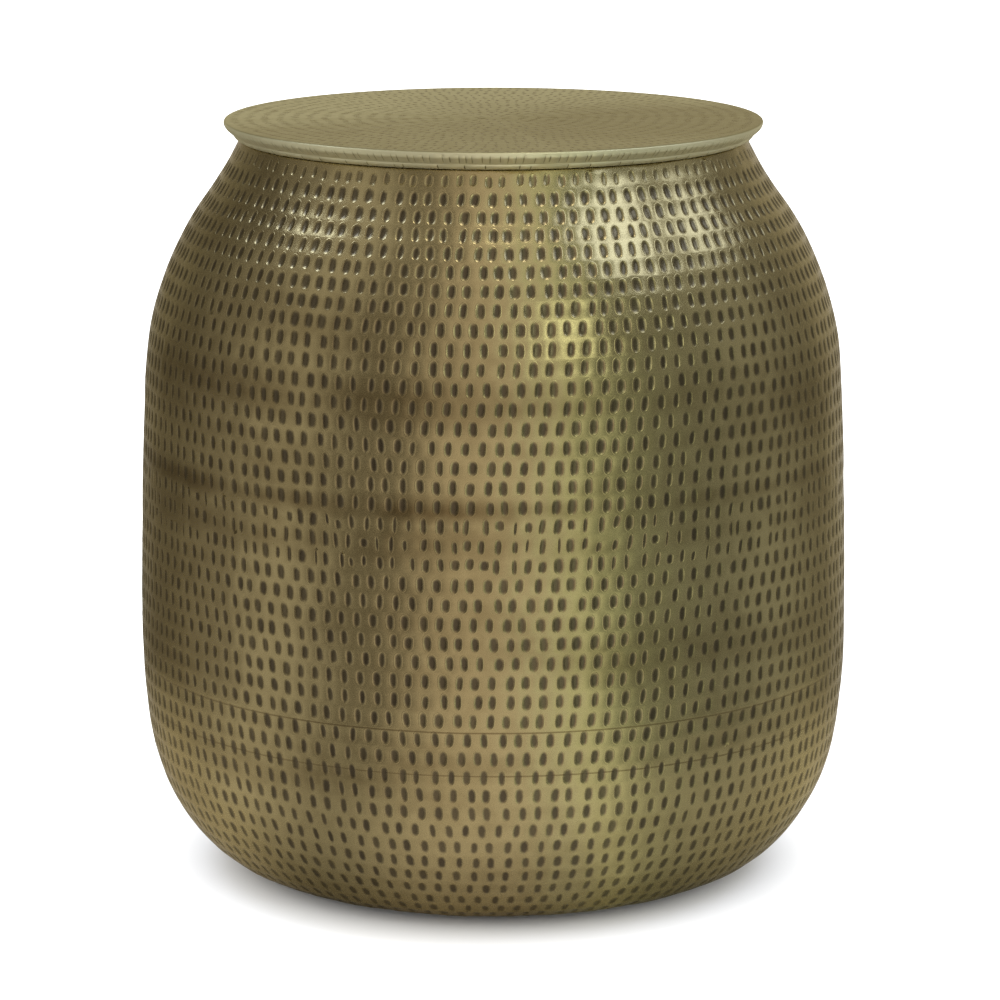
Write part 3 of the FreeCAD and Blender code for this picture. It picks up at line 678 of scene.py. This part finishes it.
@dataclass(frozen=True)
class HammeredBrass:
    """Antiqued brass sheet: hammered, darkened, rubbed back and lacquered.

    The rubbing leaves the ground pale and the pits dark, the lacquer gives white glints, and the
    stain that was not rubbed off lies over the sheet in brown clouds. The edge below a height is
    painted pale and less metallic, as painted light in place of the bright reflection of its
    surroundings, and the front may be darkened with painted shade.
    """

    name: str = "brass_sheet_hammered_antiqued"
    ground: str = "#a29469"
    brown: str = "#6d5d3a"
    patina: str = "#4a412f"
    edge: str = "#fff0c6"
    # Pale colour of the painted light on the edge.
    lit_edge: str = "#b9b492"
    roughness: float = 0.24
    pit_roughness: float = 0.3
    lacquer: float = 0.3
    lacquer_roughness: float = 0.18

    # Stain in clouds that are drawn out round the drum, with a mottle where the rag missed spots.
    clouds: Patches = Patches(90.0, (0.42, 0.75, 0.0, 0.55), detail=4.0)
    cloud_draw: Triple = (0.5, 0.5, 1.8)
    mottle: Patches = Patches(9.0, (0.3, 0.7, -0.12, 0.12), detail=4.0)

    # Dark brown bands, which come and go round the drum and are weaker on its right.
    dark_bands: tuple[DarkBand, ...] = ()
    dark_band_patches: Patches = Patches(60.0, (0.28, 0.55, 0.35, 1.0))
    dark_band_side: Ramp = (80 * MM, -60 * MM, 0.5, 1.0)

    # Lines scribed round the drum on the lathe, by their heights.
    scribes: tuple[float, ...] = ()
    scribe_ramp: Ramp = (0.7 * MM, 0.2 * MM, 0.0, 0.8)

    # Painted shade that darkens the front, and painted light that makes the edge below a height pale.
    front_shade: float = 0.0
    front_shade_slant: float = -0.35
    front_shade_span: tuple[float, float] = (60 * MM, -40 * MM)
    lit_edge_below: float = 0.0
    lit_edge_span: tuple[float, float] = (0.3, -0.5)
    lit_edge_metal: float = 0.84

    # The pits: the patina's ragged edge, the hollow, the rim that the hammer pushed up, a ripple.
    pit_edge: tuple[float, float] = (1.08, 0.4)
    tear: float = 2.2
    tear_depth: float = 0.3
    hollow: tuple[float, float] = (0.3, 1.0)
    pit_bump: float = 0.2
    rim_rise: tuple[float, float] = (0.7, 0.93)
    rim_fall: tuple[float, float] = (1.09, 0.96)
    rim_bump: float = 0.06
    ripple: float = 5.0
    ripple_bump: float = 0.05
    detail: float = 3.0

    # The rubbing's own lines are finer than a pixel, so they are drawn as grains of 0.7 mm.
    grain: Patches = Patches(0.7, (0.2, 0.8, -0.07, 0.07), detail=2.0)

    def stain_and_shade(self, add: Adder) -> Node:
        """Adds the stain and the painted shade: clouds, dark bands, the front's painted shade, mottle
        and scribed lines.

        Args:
            add: Adds a node to the material.

        Returns:
            How much stain and painted shade there is.
        """
        place = add("TexCoord").outputs["Object"]
        across, back, height = add("SeparateXYZ", [place]).outputs
        stain_and_shade = self.clouds.lay(add, add("Mapping", {"Vector": place, "Scale": self.cloud_draw}))
        side = add("MapRange", [across, *self.dark_band_side], **SOFT_STEP)
        uneven = add("Math", [self.dark_band_patches.lay(add, place), side], operation="MULTIPLY")
        for dark_band in self.dark_bands:
            above = add("Math", [height, dark_band.height * MM], operation="SUBTRACT")
            off = add("Math", [above], operation="ABSOLUTE")
            band = add("MapRange", [off, dark_band.reach * MM, 0.0, 0.0, dark_band.strength], **SOFT_STEP)
            broken = add("Math", [band, uneven], operation="MULTIPLY")
            stain_and_shade = add("Math", [stain_and_shade, broken], operation="MAXIMUM")
        # Painted shade: the front is darkened up to a slanted line across the sheet.
        if self.front_shade:
            slant = add("Math", [across, self.front_shade_slant, back], operation="MULTIPLY_ADD")
            front = add("MapRange", [slant, *self.front_shade_span, 0.0, self.front_shade], **SOFT_STEP)
            stain_and_shade = add("Math", [stain_and_shade, front], operation="ADD")
        stain_and_shade = add("Math", [stain_and_shade, self.mottle.lay(add, place)], operation="ADD")
        for scribe in self.scribes:
            above = add("Math", [height, scribe * MM], operation="SUBTRACT")
            off = add("Math", [above], operation="ABSOLUTE")
            line = add("MapRange", [off, *self.scribe_ramp], **SOFT_STEP)
            stain_and_shade = add("Math", [stain_and_shade, line], operation="MAXIMUM")
        return stain_and_shade

    def sheet(self, add: Adder) -> tuple[Node, Feed]:
        """Adds the sheet between the hammer marks.

        Args:
            add: Adds a node to the material.

        Returns:
            The sheet's colour, and how metallic it is.
        """
        stained_and_shaded = {"Factor": self.stain_and_shade(add), "A": linear(self.ground), "B": linear(self.brown)}
        sheet, metal = add("Mix", stained_and_shaded, **OF_COLOURS), 1.0
        # Painted light: below a height the sheet is painted pale and partly matt, in place of the bright
        # reflection of its surroundings.
        if self.lit_edge_below:
            height = add("SeparateXYZ", [add("TexCoord").outputs["Object"]]).outputs["Z"]
            start, end = ((self.lit_edge_below + step) * MM for step in self.lit_edge_span)
            lit_share = add("MapRange", [height, start, end], **SOFT_STEP)
            sheet = add("Mix", {"Factor": lit_share, "A": sheet, "B": linear(self.lit_edge)}, **OF_COLOURS)
            metal = add("MapRange", [lit_share, 0.0, 1.0, 1.0, self.lit_edge_metal], **SOFT_STEP)
        return sheet, metal

    def hammering(self, add: Adder) -> tuple[Node, Node]:
        """Adds the patina in the hammer marks, and the bumps of their hollows, rims and ripples.

        Args:
            add: Adds a node to the material.

        Returns:
            How much patina there is, and the bumped normal.
        """
        place = add("TexCoord").outputs["Object"]
        # Distance from the middle of a mark, 1 at its edge.
        mark = add("VectorMath", [add("UVMap", uv_map="mark")], operation="LENGTH")
        torn = add("TexNoise", {"Vector": place, "Scale": 1 / (self.tear * MM), "Detail": self.detail})
        centred = add("Math", [mark, self.tear_depth / 2], operation="SUBTRACT")
        ragged = add("Math", [torn, self.tear_depth, centred], operation="MULTIPLY_ADD")
        dark = add("MapRange", [ragged, *self.pit_edge], **SOFT_STEP)
        tone = add("Attribute", attribute_name="tone").outputs["Fac"]
        pits = add("Math", [dark, tone], operation="MULTIPLY")
        hollow = add("MapRange", [mark, *self.hollow, -self.pit_bump, 0.0], **SOFT_STEP)
        rise = add("MapRange", [mark, *self.rim_rise], **SOFT_STEP)
        fall = add("MapRange", [mark, *self.rim_fall], **SOFT_STEP)
        rim = add("Math", [rise, fall], operation="MULTIPLY")
        raised = add("Math", [rim, self.rim_bump], operation="MULTIPLY")
        relief = add("Math", [hollow, raised], operation="ADD")
        wavy = add("TexNoise", {"Vector": place, "Scale": 1 / (self.ripple * MM), "Detail": self.detail})
        relief = add("Math", [wavy, self.ripple_bump, relief], operation="MULTIPLY_ADD")
        return pits, add("Bump", {"Height": relief, "Distance": MM})

    def make(self) -> Material:
        """Makes the material.

        Returns:
            The material.
        """
        material, add = new_material(self.name)
        pits, bump = self.hammering(add)
        sheet, metal = self.sheet(add)
        pitted = {"Factor": pits, "A": sheet, "B": linear(self.patina)}
        coarse = add("MapRange", [pits, 0.0, 1.0, self.roughness, self.pit_roughness], **SOFT_STEP)
        fine = self.grain.lay(add, add("TexCoord").outputs["Object"])
        shader = add("BsdfPrincipled", {
            "Base Color": add("Mix", pitted, **OF_COLOURS),
            "Metallic": metal,
            "Roughness": add("Math", [coarse, fine], operation="ADD"),
            "Normal": bump,
            "Specular Tint": linear(self.edge),
            "Coat Weight": self.lacquer,
            "Coat Roughness": self.lacquer_roughness,
            "Coat Normal": bump,
        })
        add("OutputMaterial", {"Surface": shader})
        return material


@dataclass(frozen=True)
class PlainFinish:
    """A finish of one colour, with a grain that shifts its shade, its gloss and its surface."""

    name: str
    colour: str
    shade: str
    roughness: float
    metallic: float
    grain: float
    stretch: Triple = (1.0, 1.0, 1.0)
    relief: float = 0.02
    unevenness: float = 0.1
    detail: float = 3.0

    def make(self) -> Material:
        """Makes the material.

        Returns:
            The material.
        """
        material, add = new_material(self.name)
        place = add("TexCoord").outputs["Object"]
        drawn = add("Mapping", {"Vector": place, "Scale": self.stretch})
        grain = add("TexNoise", {"Vector": drawn, "Scale": 1 / (self.grain * MM), "Detail": self.detail})
        shaded = {"Factor": grain, "A": linear(self.colour), "B": linear(self.shade)}
        limits = self.roughness - self.unevenness, self.roughness + self.unevenness
        shader = add("BsdfPrincipled", {
            "Base Color": add("Mix", shaded, **OF_COLOURS),
            "Metallic": self.metallic,
            "Roughness": add("MapRange", [grain, 0.0, 1.0, *limits]),
            "Normal": add("Bump", {"Height": grain, "Distance": self.relief * MM}),
        })
        add("OutputMaterial", {"Surface": shader})
        return material


# Pieces.


class Body(Enum):
    """The bodies that move against each other."""

    DRUM = "drum"
    LID = "lid"


class Slot(Enum):
    """The material slots of the rebuilt pieces."""

    DRUM_SHEET = "drum_sheet"
    LID_SHEET = "lid_sheet"


def take_place(piece: bpy.types.Object, node: str, body: Body) -> None:
    """Puts a rebuilt piece in the place of a packed one.

    Args:
        piece: The rebuilt piece.
        node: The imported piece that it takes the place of.
        body: The body that it rides on.
    """
    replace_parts(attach(piece, body.value), node)
    log.info("built %s with %d faces", piece.name, len(piece.data.polygons))


@dataclass
class UpperShell:
    """The drum's upper half: hammered side and shoulder, plain neck and rolled rim."""

    shape: DrumShape
    dents: Dents
    rows: int = 19
    shoulder_row: int = 10
    plain_neck: float = 0.8
    body: Strike = Strike()
    shoulder: Strike = Strike(width=5.5, pitch=8.5)
    waist: Strike = WAIST_STRIKE
    last: Strike = Strike(width=4.2, height=7.6, pitch=8.0, depth=0.3, dark=0.6)
    seed: int = 100
    segments: int = 192
    curl_rings: int = 14
    inner_curl_rings: int = 12
    inner_wall_rings: int = 24

    def build(self, finish: HammeredBrass) -> None:
        """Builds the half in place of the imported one.

        Args:
            finish: The sheet's finish.
        """
        path = self.shape.upper_wall()
        _, _, neck, curl = path.ends
        skin = Skin(self.dents)
        skin.smooth(path, [0.0], SEAM_SEGMENTS, dented=1.0)
        pitch = (neck - self.plain_neck) / self.rows
        for row in range(self.rows):
            style = self.shoulder if row >= self.shoulder_row else self.body
            style = {0: self.waist, self.rows - 1: self.last}.get(row, style)
            drift = DRIFT_STEP * min(row, self.rows - 1 - row)
            style = replace(style, drift=drift, reach=pitch / 2 - ROW_GAP)
            skin.strike(path, (row + 0.5) * pitch, style, self.seed + row)
        skin.smooth(path, [neck - self.plain_neck / 2, neck], self.segments)
        skin.smooth(path, np.linspace(neck, curl, self.curl_rings)[1:], self.segments)
        inner = path.behind(self.shape.gauge)
        inner_curl, inner_seam = inner.ends[0], inner.ends[-1]
        skin.smooth(inner, np.linspace(0, inner_curl, self.inner_curl_rings), self.segments)
        skin.smooth(inner, np.linspace(inner_curl, inner_seam, self.inner_wall_rings)[1:], self.segments)
        skin.crease()
        skin.smooth(path, [0.0], SEAM_SEGMENTS, dented=1.0)
        half = skin.make("drum_upper_half", finish.make())
        take_place(half, "upper_shell", Body.DRUM)


@dataclass
class LowerShell:
    """The drum's lower half: pressed-up floor, base ring and hammered side."""

    shape: DrumShape
    dents: Dents
    rows: int = 25
    waist_rows: int = 2
    plain_heel: float = 3.0
    heel_room: float = 4.0
    body: Strike = Strike()
    waist: Strike = WAIST_STRIKE
    seed: int = 400
    segments: int = 192
    base_rings: int = 12
    inner_rings: int = 40
    inner_fan: float = 40.0

    def build(self, finish: HammeredBrass) -> None:
        """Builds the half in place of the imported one.

        Args:
            finish: The sheet's finish.
        """
        path = self.shape.lower_wall()
        floor, base, seam = path.ends[0], path.ends[2], path.ends[-1]
        skin = Skin(self.dents)
        skin.smooth(path, [floor / 2], self.segments)
        skin.middle(path.segments[0].start, facing_up=False)
        skin.smooth(path, np.linspace(floor, base + self.plain_heel, self.base_rings), self.segments)
        pitch = (seam - base - self.heel_room) / self.rows
        for row in range(self.rows):
            style = self.waist if row >= self.rows - self.waist_rows else self.body
            drift = DRIFT_STEP * min(row, self.rows - 1 - row)
            style = replace(style, drift=drift, reach=pitch / 2 - ROW_GAP)
            skin.strike(path, seam - (self.rows - row - 0.5) * pitch, style, self.seed + row)
        skin.smooth(path, [seam], SEAM_SEGMENTS, dented=1.0)
        inner = path.behind(self.shape.gauge)
        skin.crease()
        skin.smooth(inner, [0.0], self.segments)
        skin.crease()
        inner_end = inner.ends[-1] - self.inner_fan
        skin.smooth(inner, np.linspace(0, inner_end, self.inner_rings)[1:], self.segments)
        skin.middle(inner.segments[-1].end, facing_up=True)
        half = skin.make("drum_lower_half", finish.make())
        take_place(half, "lower_shell", Body.DRUM)


@dataclass
class Lid:
    """The lift-off lid: hammered top, and an edge that is scored across by its crease."""

    shape: LidShape
    rim_z: float
    dents: Dents
    ring_pitch: float = 8.6
    plain_lip: float = 1.0
    top: Strike = Strike(width=2.8, height=5.6, pitch=5.6, reach=4.2, depth=0.16, stray=0.5,
                         spread=0.25, drift=1.0)
    score: Strike = Strike(width=0.7, pitch=4.6, depth=0.2, stray=1.1, lean=0.06, spread=0.25,
                           dark=0.65, rows=(-1.06, -0.8, -0.56, -0.28, 0.0, 0.28, 0.56, 0.8, 1.06))
    nick: Strike = Strike(width=0.7, pitch=14.0, depth=0.18, stray=2.5, lean=0.08, spread=0.25)
    edge_seed: int = 700
    top_seed: int = 800
    segments: int = 240
    bend_rings: int = 4
    lip_rings: int = 7
    inner_fan: float = 10.0
    inner_start: float = 20.0
    inner_top_rings: int = 10
    inner_edge_rings: int = 20

    def build(self, finish: HammeredBrass) -> None:
        """Builds the lid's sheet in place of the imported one.

        Args:
            finish: The sheet's finish.
        """
        path = self.shape.sheet(self.rim_z)
        bend, crease, _, nose, lip, middle = path.ends
        skin = Skin(self.dents)
        skin.smooth(path, np.linspace(0, bend, self.bend_rings), self.segments)
        for style, start, end in ((self.nick, bend, crease), (self.score, crease, nose)):
            run = end - start
            style = replace(style, height=run, reach=run / 2 - ROW_GAP)
            skin.strike(path, (start + end) / 2, style, self.edge_seed)
            skin.smooth(path, [end], self.segments)
            skin.crease()
        skin.smooth(path, np.linspace(nose, lip, self.lip_rings)[1:], self.segments)
        distance, row = lip + self.plain_lip + self.ring_pitch / 2, 0
        while distance + self.ring_pitch < middle:
            skin.strike(path, distance, self.top, self.top_seed + row)
            distance += self.ring_pitch
            row += 1
        skin.middle(path.segments[-1].end, facing_up=True)
        inner = path.behind(self.shape.gauge)
        inner_top, inner_hem = inner.ends[0], inner.ends[-1]
        skin.edge = None
        skin.smooth(inner, [self.inner_fan], self.segments)
        skin.middle(inner.segments[0].start, facing_up=False)
        skin.smooth(inner, np.linspace(self.inner_start, inner_top, self.inner_top_rings), self.segments)
        skin.smooth(inner, np.linspace(inner_top, inner_hem, self.inner_edge_rings)[1:], self.segments)
        skin.crease()
        skin.smooth(path, [0.0], self.segments)
        sheet = skin.make("lid_sheet_hammered", finish.make())
        take_place(sheet, "lid_top", Body.LID)


@dataclass
class Fittings:
    """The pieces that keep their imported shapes.

    The lines of rubbing and drawing and the skin of a mould are finer than a pixel, so their grains
    are drawn 0.3 to 0.6 mm wide, the finest that show.
    """

    # Brass rubbed round the axis with wire wool: satin, without glints, in fine lines.
    sheet: PlainFinish = PlainFinish("brass_sheet_satin_rubbed", "#aca077", "#978a60", 0.4, 1.0, 0.4,
                                     stretch=(0.05, 0.05, 1.0))
    # Steel pulled through a die: grey, with an even sheen.
    wire: PlainFinish = PlainFinish("steel_wire_drawn", "#b9b9ba", "#9d9da0", 0.35, 1.0, 0.3)
    # Rubber from a blasted mould: near black, with a matt and slightly rough skin.
    rubber: PlainFinish = PlainFinish("rubber_moulded_matt", "#1b1b1b", "#252423", 0.8, 0.0, 0.6,
                                      relief=0.06)
    # Steel with bright zinc on it: a cold grey that shines, with cloudy crystals.
    zinc: PlainFinish = PlainFinish("steel_zinc_plated", "#c3c5c8", "#a9abb2", 0.3, 1.0, 1.2)

    def dress(self) -> None:
        """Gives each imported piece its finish."""
        finishes = {
            self.sheet: ("waist_strap", "lid_collar"),
            self.wire: ("mouth_rim_wire",),
            self.rubber: ("foot_pads",),
            self.zinc: ("foot_screws", "foot_washers", "foot_nuts"),
        }
        for finish, nodes in finishes.items():
            material = finish.make()
            for node in nodes:
                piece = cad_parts[node]
                piece.data.materials.clear()
                piece.data.materials.append(material)
                log.info("dressed %s in %s", node, finish.name)


# Studio.


@dataclass(frozen=True)
class SoftBox:
    """A square soft box that faces the drum's middle. Its place and size are in metres."""

    name: str
    place: Triple
    size: float
    power: float
    colour: str
    target: Triple = (0, 0, 0.25)

    def build(self) -> None:
        """Adds the lamp."""
        data = bpy.data.lights.new(self.name, "AREA")
        data.size = self.size
        data.energy = self.power
        data.color = linear(self.colour)[:3]
        lamp = bpy.data.objects.new(self.name, data)
        lamp.location = self.place
        facing = Vector(self.target) - Vector(self.place)
        lamp.rotation_euler = facing.to_track_quat("-Z", "Y").to_euler()
        bpy.context.scene.collection.objects.link(lamp)


@dataclass
class Studio:
    """White sweep, soft light and the camera of the photograph.

    The metal mirrors grey boards that stand round the table. Each is given by its bearing from the
    front in degrees, positive to the right, and its colour.
    """

    lens: float = 157.14
    sensor: float = 36.0
    camera_place: Triple = (0.0, -2467.5, 730.7)
    pitch: float = math.radians(11.91)
    shift: float = 0.0066
    sight: float = 100.0
    fill: float = 2.2
    boards: tuple[tuple[float, str], ...] = (
        (-180, "#8a8886"), (-150, "#5c5a56"), (-126, "#4d4a47"), (-92, "#6e6a66"),
        (-67, "#938f8a"), (-38, "#5e5a56"), (-6, "#a69d97"), (3, "#aaa29d"), (16, "#aeb0a8"),
        (25, "#b5bba8"), (34, "#848c7d"), (43, "#6c7169"), (65, "#686a66"), (92, "#787976"),
        (122, "#5c5b5a"), (155, "#7c7b7a"), (180, "#8a8886"))
    floor_size: float = 12.0
    floor_roughness: float = 0.9
    near_floor: str = "#d0ccc5"
    near_ramp: Ramp = (0.6, 0.28, 0.0, 0.3)
    paper: str = "#f3f3f3"
    white: str = "#ffffff"
    boxes: tuple[SoftBox, ...] = (
        SoftBox("top_box", (0.2, -0.45, 2.4), 0.5, 4.5, "#fffaf0"),
        SoftBox("right_box", (1.2, -0.65, 1.9), 0.7, 4.8, "#d6e4ff"),
        SoftBox("front_box", (0.95, -1.9, 1.3), 0.6, 2.0, "#f4ffec"),
        SoftBox("side_box", (1.4, 0.25, 1.6), 0.6, 3.0, "#d6e4ff"),
        SoftBox("left_box", (-1.2, 0.25, 1.9), 0.6, 7.5, "#d6e4ff"))

    def camera(self) -> None:
        """Makes the camera."""
        data = bpy.data.cameras.new("camera")
        data.sensor_width = self.sensor
        data.lens = self.lens
        data.shift_x = self.shift
        data.clip_end = self.sight
        camera = bpy.data.objects.new("camera", data)
        camera.location = Vector(self.camera_place) * MM
        camera.rotation_euler = (QUARTER - self.pitch, 0, 0)
        bpy.context.scene.collection.objects.link(camera)
        bpy.context.scene.camera = camera

    def surround(self, add: Adder, place: Socket) -> Node:
        """Adds the colour of the boards that stand round the table, as its metal sees them.

        Args:
            add: Adds a node to the tree.
            place: A place or a direction, whose bearing from the table picks the board.

        Returns:
            The colour.
        """
        axes = add("SeparateXYZ", [place]).outputs
        front = add("Math", [axes["Y"], -1.0], operation="MULTIPLY")
        bearing = add("Math", [axes["X"], front], operation="ARCTAN2")
        boards = add("ValToRGB", [add("MapRange", [bearing, -math.pi, math.pi])])
        boards.color_ramp.interpolation = "EASE"
        stops = boards.color_ramp.elements
        stops[0].color, stops[1].color = linear(self.boards[0][1]), linear(self.boards[-1][1])
        for degrees, colour in self.boards[1:-1]:
            stops.new((degrees + 180) / 360).color = linear(colour)
        return boards

    def floor(self) -> None:
        """Makes the white floor, which the metal sees bright nearby and like the boards far off."""
        bpy.ops.mesh.primitive_plane_add(size=self.floor_size)
        floor = bpy.context.object
        floor.name = "floor"
        material, add = new_material("paper_white_matt")
        place = add("NewGeometry").outputs["Position"]
        away = add("VectorMath", [place], operation="LENGTH")
        near = add("MapRange", [away, *self.near_ramp])
        lit = {"Factor": near, "A": self.surround(add, place), "B": linear(self.near_floor)}
        mirrored = add("LightPath").outputs["Is Glossy Ray"]
        seen = {"Factor": mirrored, "A": linear(self.paper), "B": add("Mix", lit, **OF_COLOURS)}
        shader = add("BsdfPrincipled", {
            "Base Color": add("Mix", seen, **OF_COLOURS),
            "Roughness": self.floor_roughness,
            "Specular IOR Level": 0.0,
        })
        add("OutputMaterial", {"Surface": shader})
        floor.data.materials.append(material)

    def world(self) -> None:
        """Makes the surroundings: white to the camera, bright to the floor, boards to the metal."""
        world = bpy.data.worlds.new("studio")
        bpy.context.scene.world = world
        world.use_nodes = True
        world.node_tree.nodes.clear()
        add = partial(add_node, world.node_tree)
        path = add("LightPath").outputs
        boards = self.surround(add, add("TexCoord").outputs["Generated"])
        mirrored = add("Background", {"Color": boards, "Strength": self.fill})
        white = add("Background", {"Color": linear(self.white), "Strength": 1.0})
        fill = add("Background", {"Color": linear(self.white), "Strength": self.fill})
        lit = add("MixShader", [path["Is Glossy Ray"], fill, mirrored])
        seen = add("MixShader", [path["Is Camera Ray"], lit, white])
        add("OutputWorld", {"Surface": seen})

    def build(self) -> None:
        """Builds the studio."""
        self.camera()
        self.floor()
        self.world()
        for box in self.boxes:
            box.build()
        bpy.context.scene.view_settings.view_transform = "Standard"
        log.info("built the studio")


def main() -> None:
    """Builds the pieces and the studio."""
    logging.basicConfig(level=logging.INFO, format="%(message)s")
    drum, lid = DrumShape(), LidShape()
    dents = Dents(seed=7, height=0.1, shortest=22.0, longest=70.0, radius=drum.belly_radius)
    lid_dents = replace(dents, height=0.04)
    under_the_top = drum.rim_z + lid.rise - 0.3
    antiqued = HammeredBrass(
        scribes=(125.0, 100.6),
        dark_bands=(DarkBand(246.0, 12.0, 1.0), DarkBand(227.0, 20.0, 0.55), DarkBand(303.0, 24.0, 0.7)))
    # The lid's sheet gets painted shade on its front and painted light on its edge.
    rubbed = HammeredBrass(
        "brass_sheet_hammered_rubbed", ground="#a8a480", brown="#837c5a", patina="#5c5539",
        roughness=0.4, lacquer=0.05, pit_bump=0.06, rim_bump=0.02, front_shade=0.75,
        lit_edge_below=under_the_top)
    UpperShell(drum, dents).build(antiqued)
    LowerShell(drum, dents).build(antiqued)
    Lid(lid, drum.rim_z, lid_dents).build(rubbed)
    Fittings().dress()
    Studio().build()


if __name__ == "__main__":
    main()
